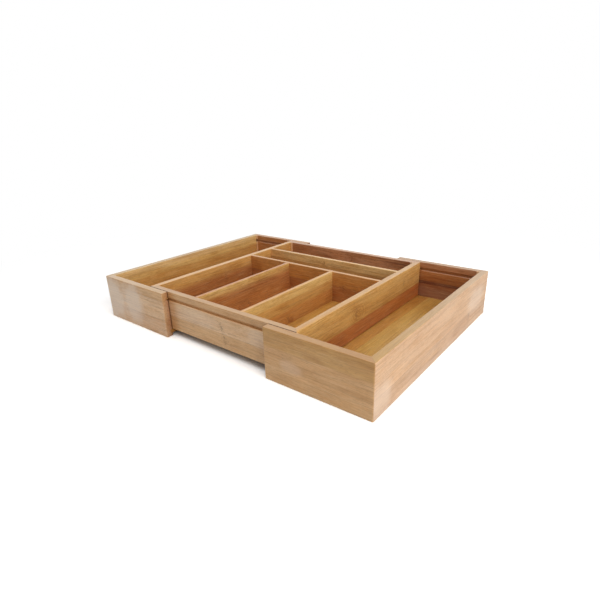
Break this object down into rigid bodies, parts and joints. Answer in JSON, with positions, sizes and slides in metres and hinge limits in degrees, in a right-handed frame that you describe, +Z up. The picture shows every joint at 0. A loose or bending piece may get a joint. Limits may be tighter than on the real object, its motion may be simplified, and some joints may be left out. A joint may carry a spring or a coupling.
{
  "type": "expanding cutlery tray",
  "caption": "Expanding bamboo cutlery tray: a divided centre tray with a floored, open-topped extension that slides out at each end.",
  "frame": {"origin": "on the surface that the tray rests on, under the middle of the tray", "axes": "+X along the tray, the way the right extension slides out; +Y from the front to the back; +Z up"},
  "size_m": [0.506, 0.36, 0.071],
  "materials": {
    "bamboo_wall": "satin lacquer",
    "bamboo_divider": "satin lacquer",
    "bamboo_floor": "satin lacquer",
    "bamboo_key": "plain, unlacquered"
  },
  "bodies": {
    "centre_tray": {"centre_front_wall": "bamboo_wall", "centre_back_wall": "bamboo_wall", "centre_left_wall": "bamboo_wall", "centre_right_wall": "bamboo_wall", "centre_floor": "bamboo_floor", "long_divider_1": "bamboo_divider", "long_divider_2": "bamboo_divider", "cross_divider_front": "bamboo_divider", "cross_divider_rear": "bamboo_divider", "centre_left_front_stop_key": "bamboo_key", "centre_left_back_stop_key": "bamboo_key", "centre_right_front_stop_key": "bamboo_key", "centre_right_back_stop_key": "bamboo_key"},
    "left_extension": {"left_front_wall": "bamboo_wall", "left_back_wall": "bamboo_wall", "left_end_wall": "bamboo_wall", "left_floor": "bamboo_floor", "left_front_slide_key": "bamboo_key", "left_back_slide_key": "bamboo_key"},
    "right_extension": {"right_front_wall": "bamboo_wall", "right_back_wall": "bamboo_wall", "right_end_wall": "bamboo_wall", "right_floor": "bamboo_floor", "right_front_slide_key": "bamboo_key", "right_back_slide_key": "bamboo_key"}
  },
  "joints": [
    {"name": "left_slide", "type": "slide", "parent": "centre_tray", "child": "left_extension", "axis": [1, 0, 0], "range_m": [0, 0.098]},
    {"name": "right_slide", "type": "slide", "parent": "centre_tray", "child": "right_extension", "axis": [-1, 0, 0], "range_m": [0, 0.098]}
  ]
}
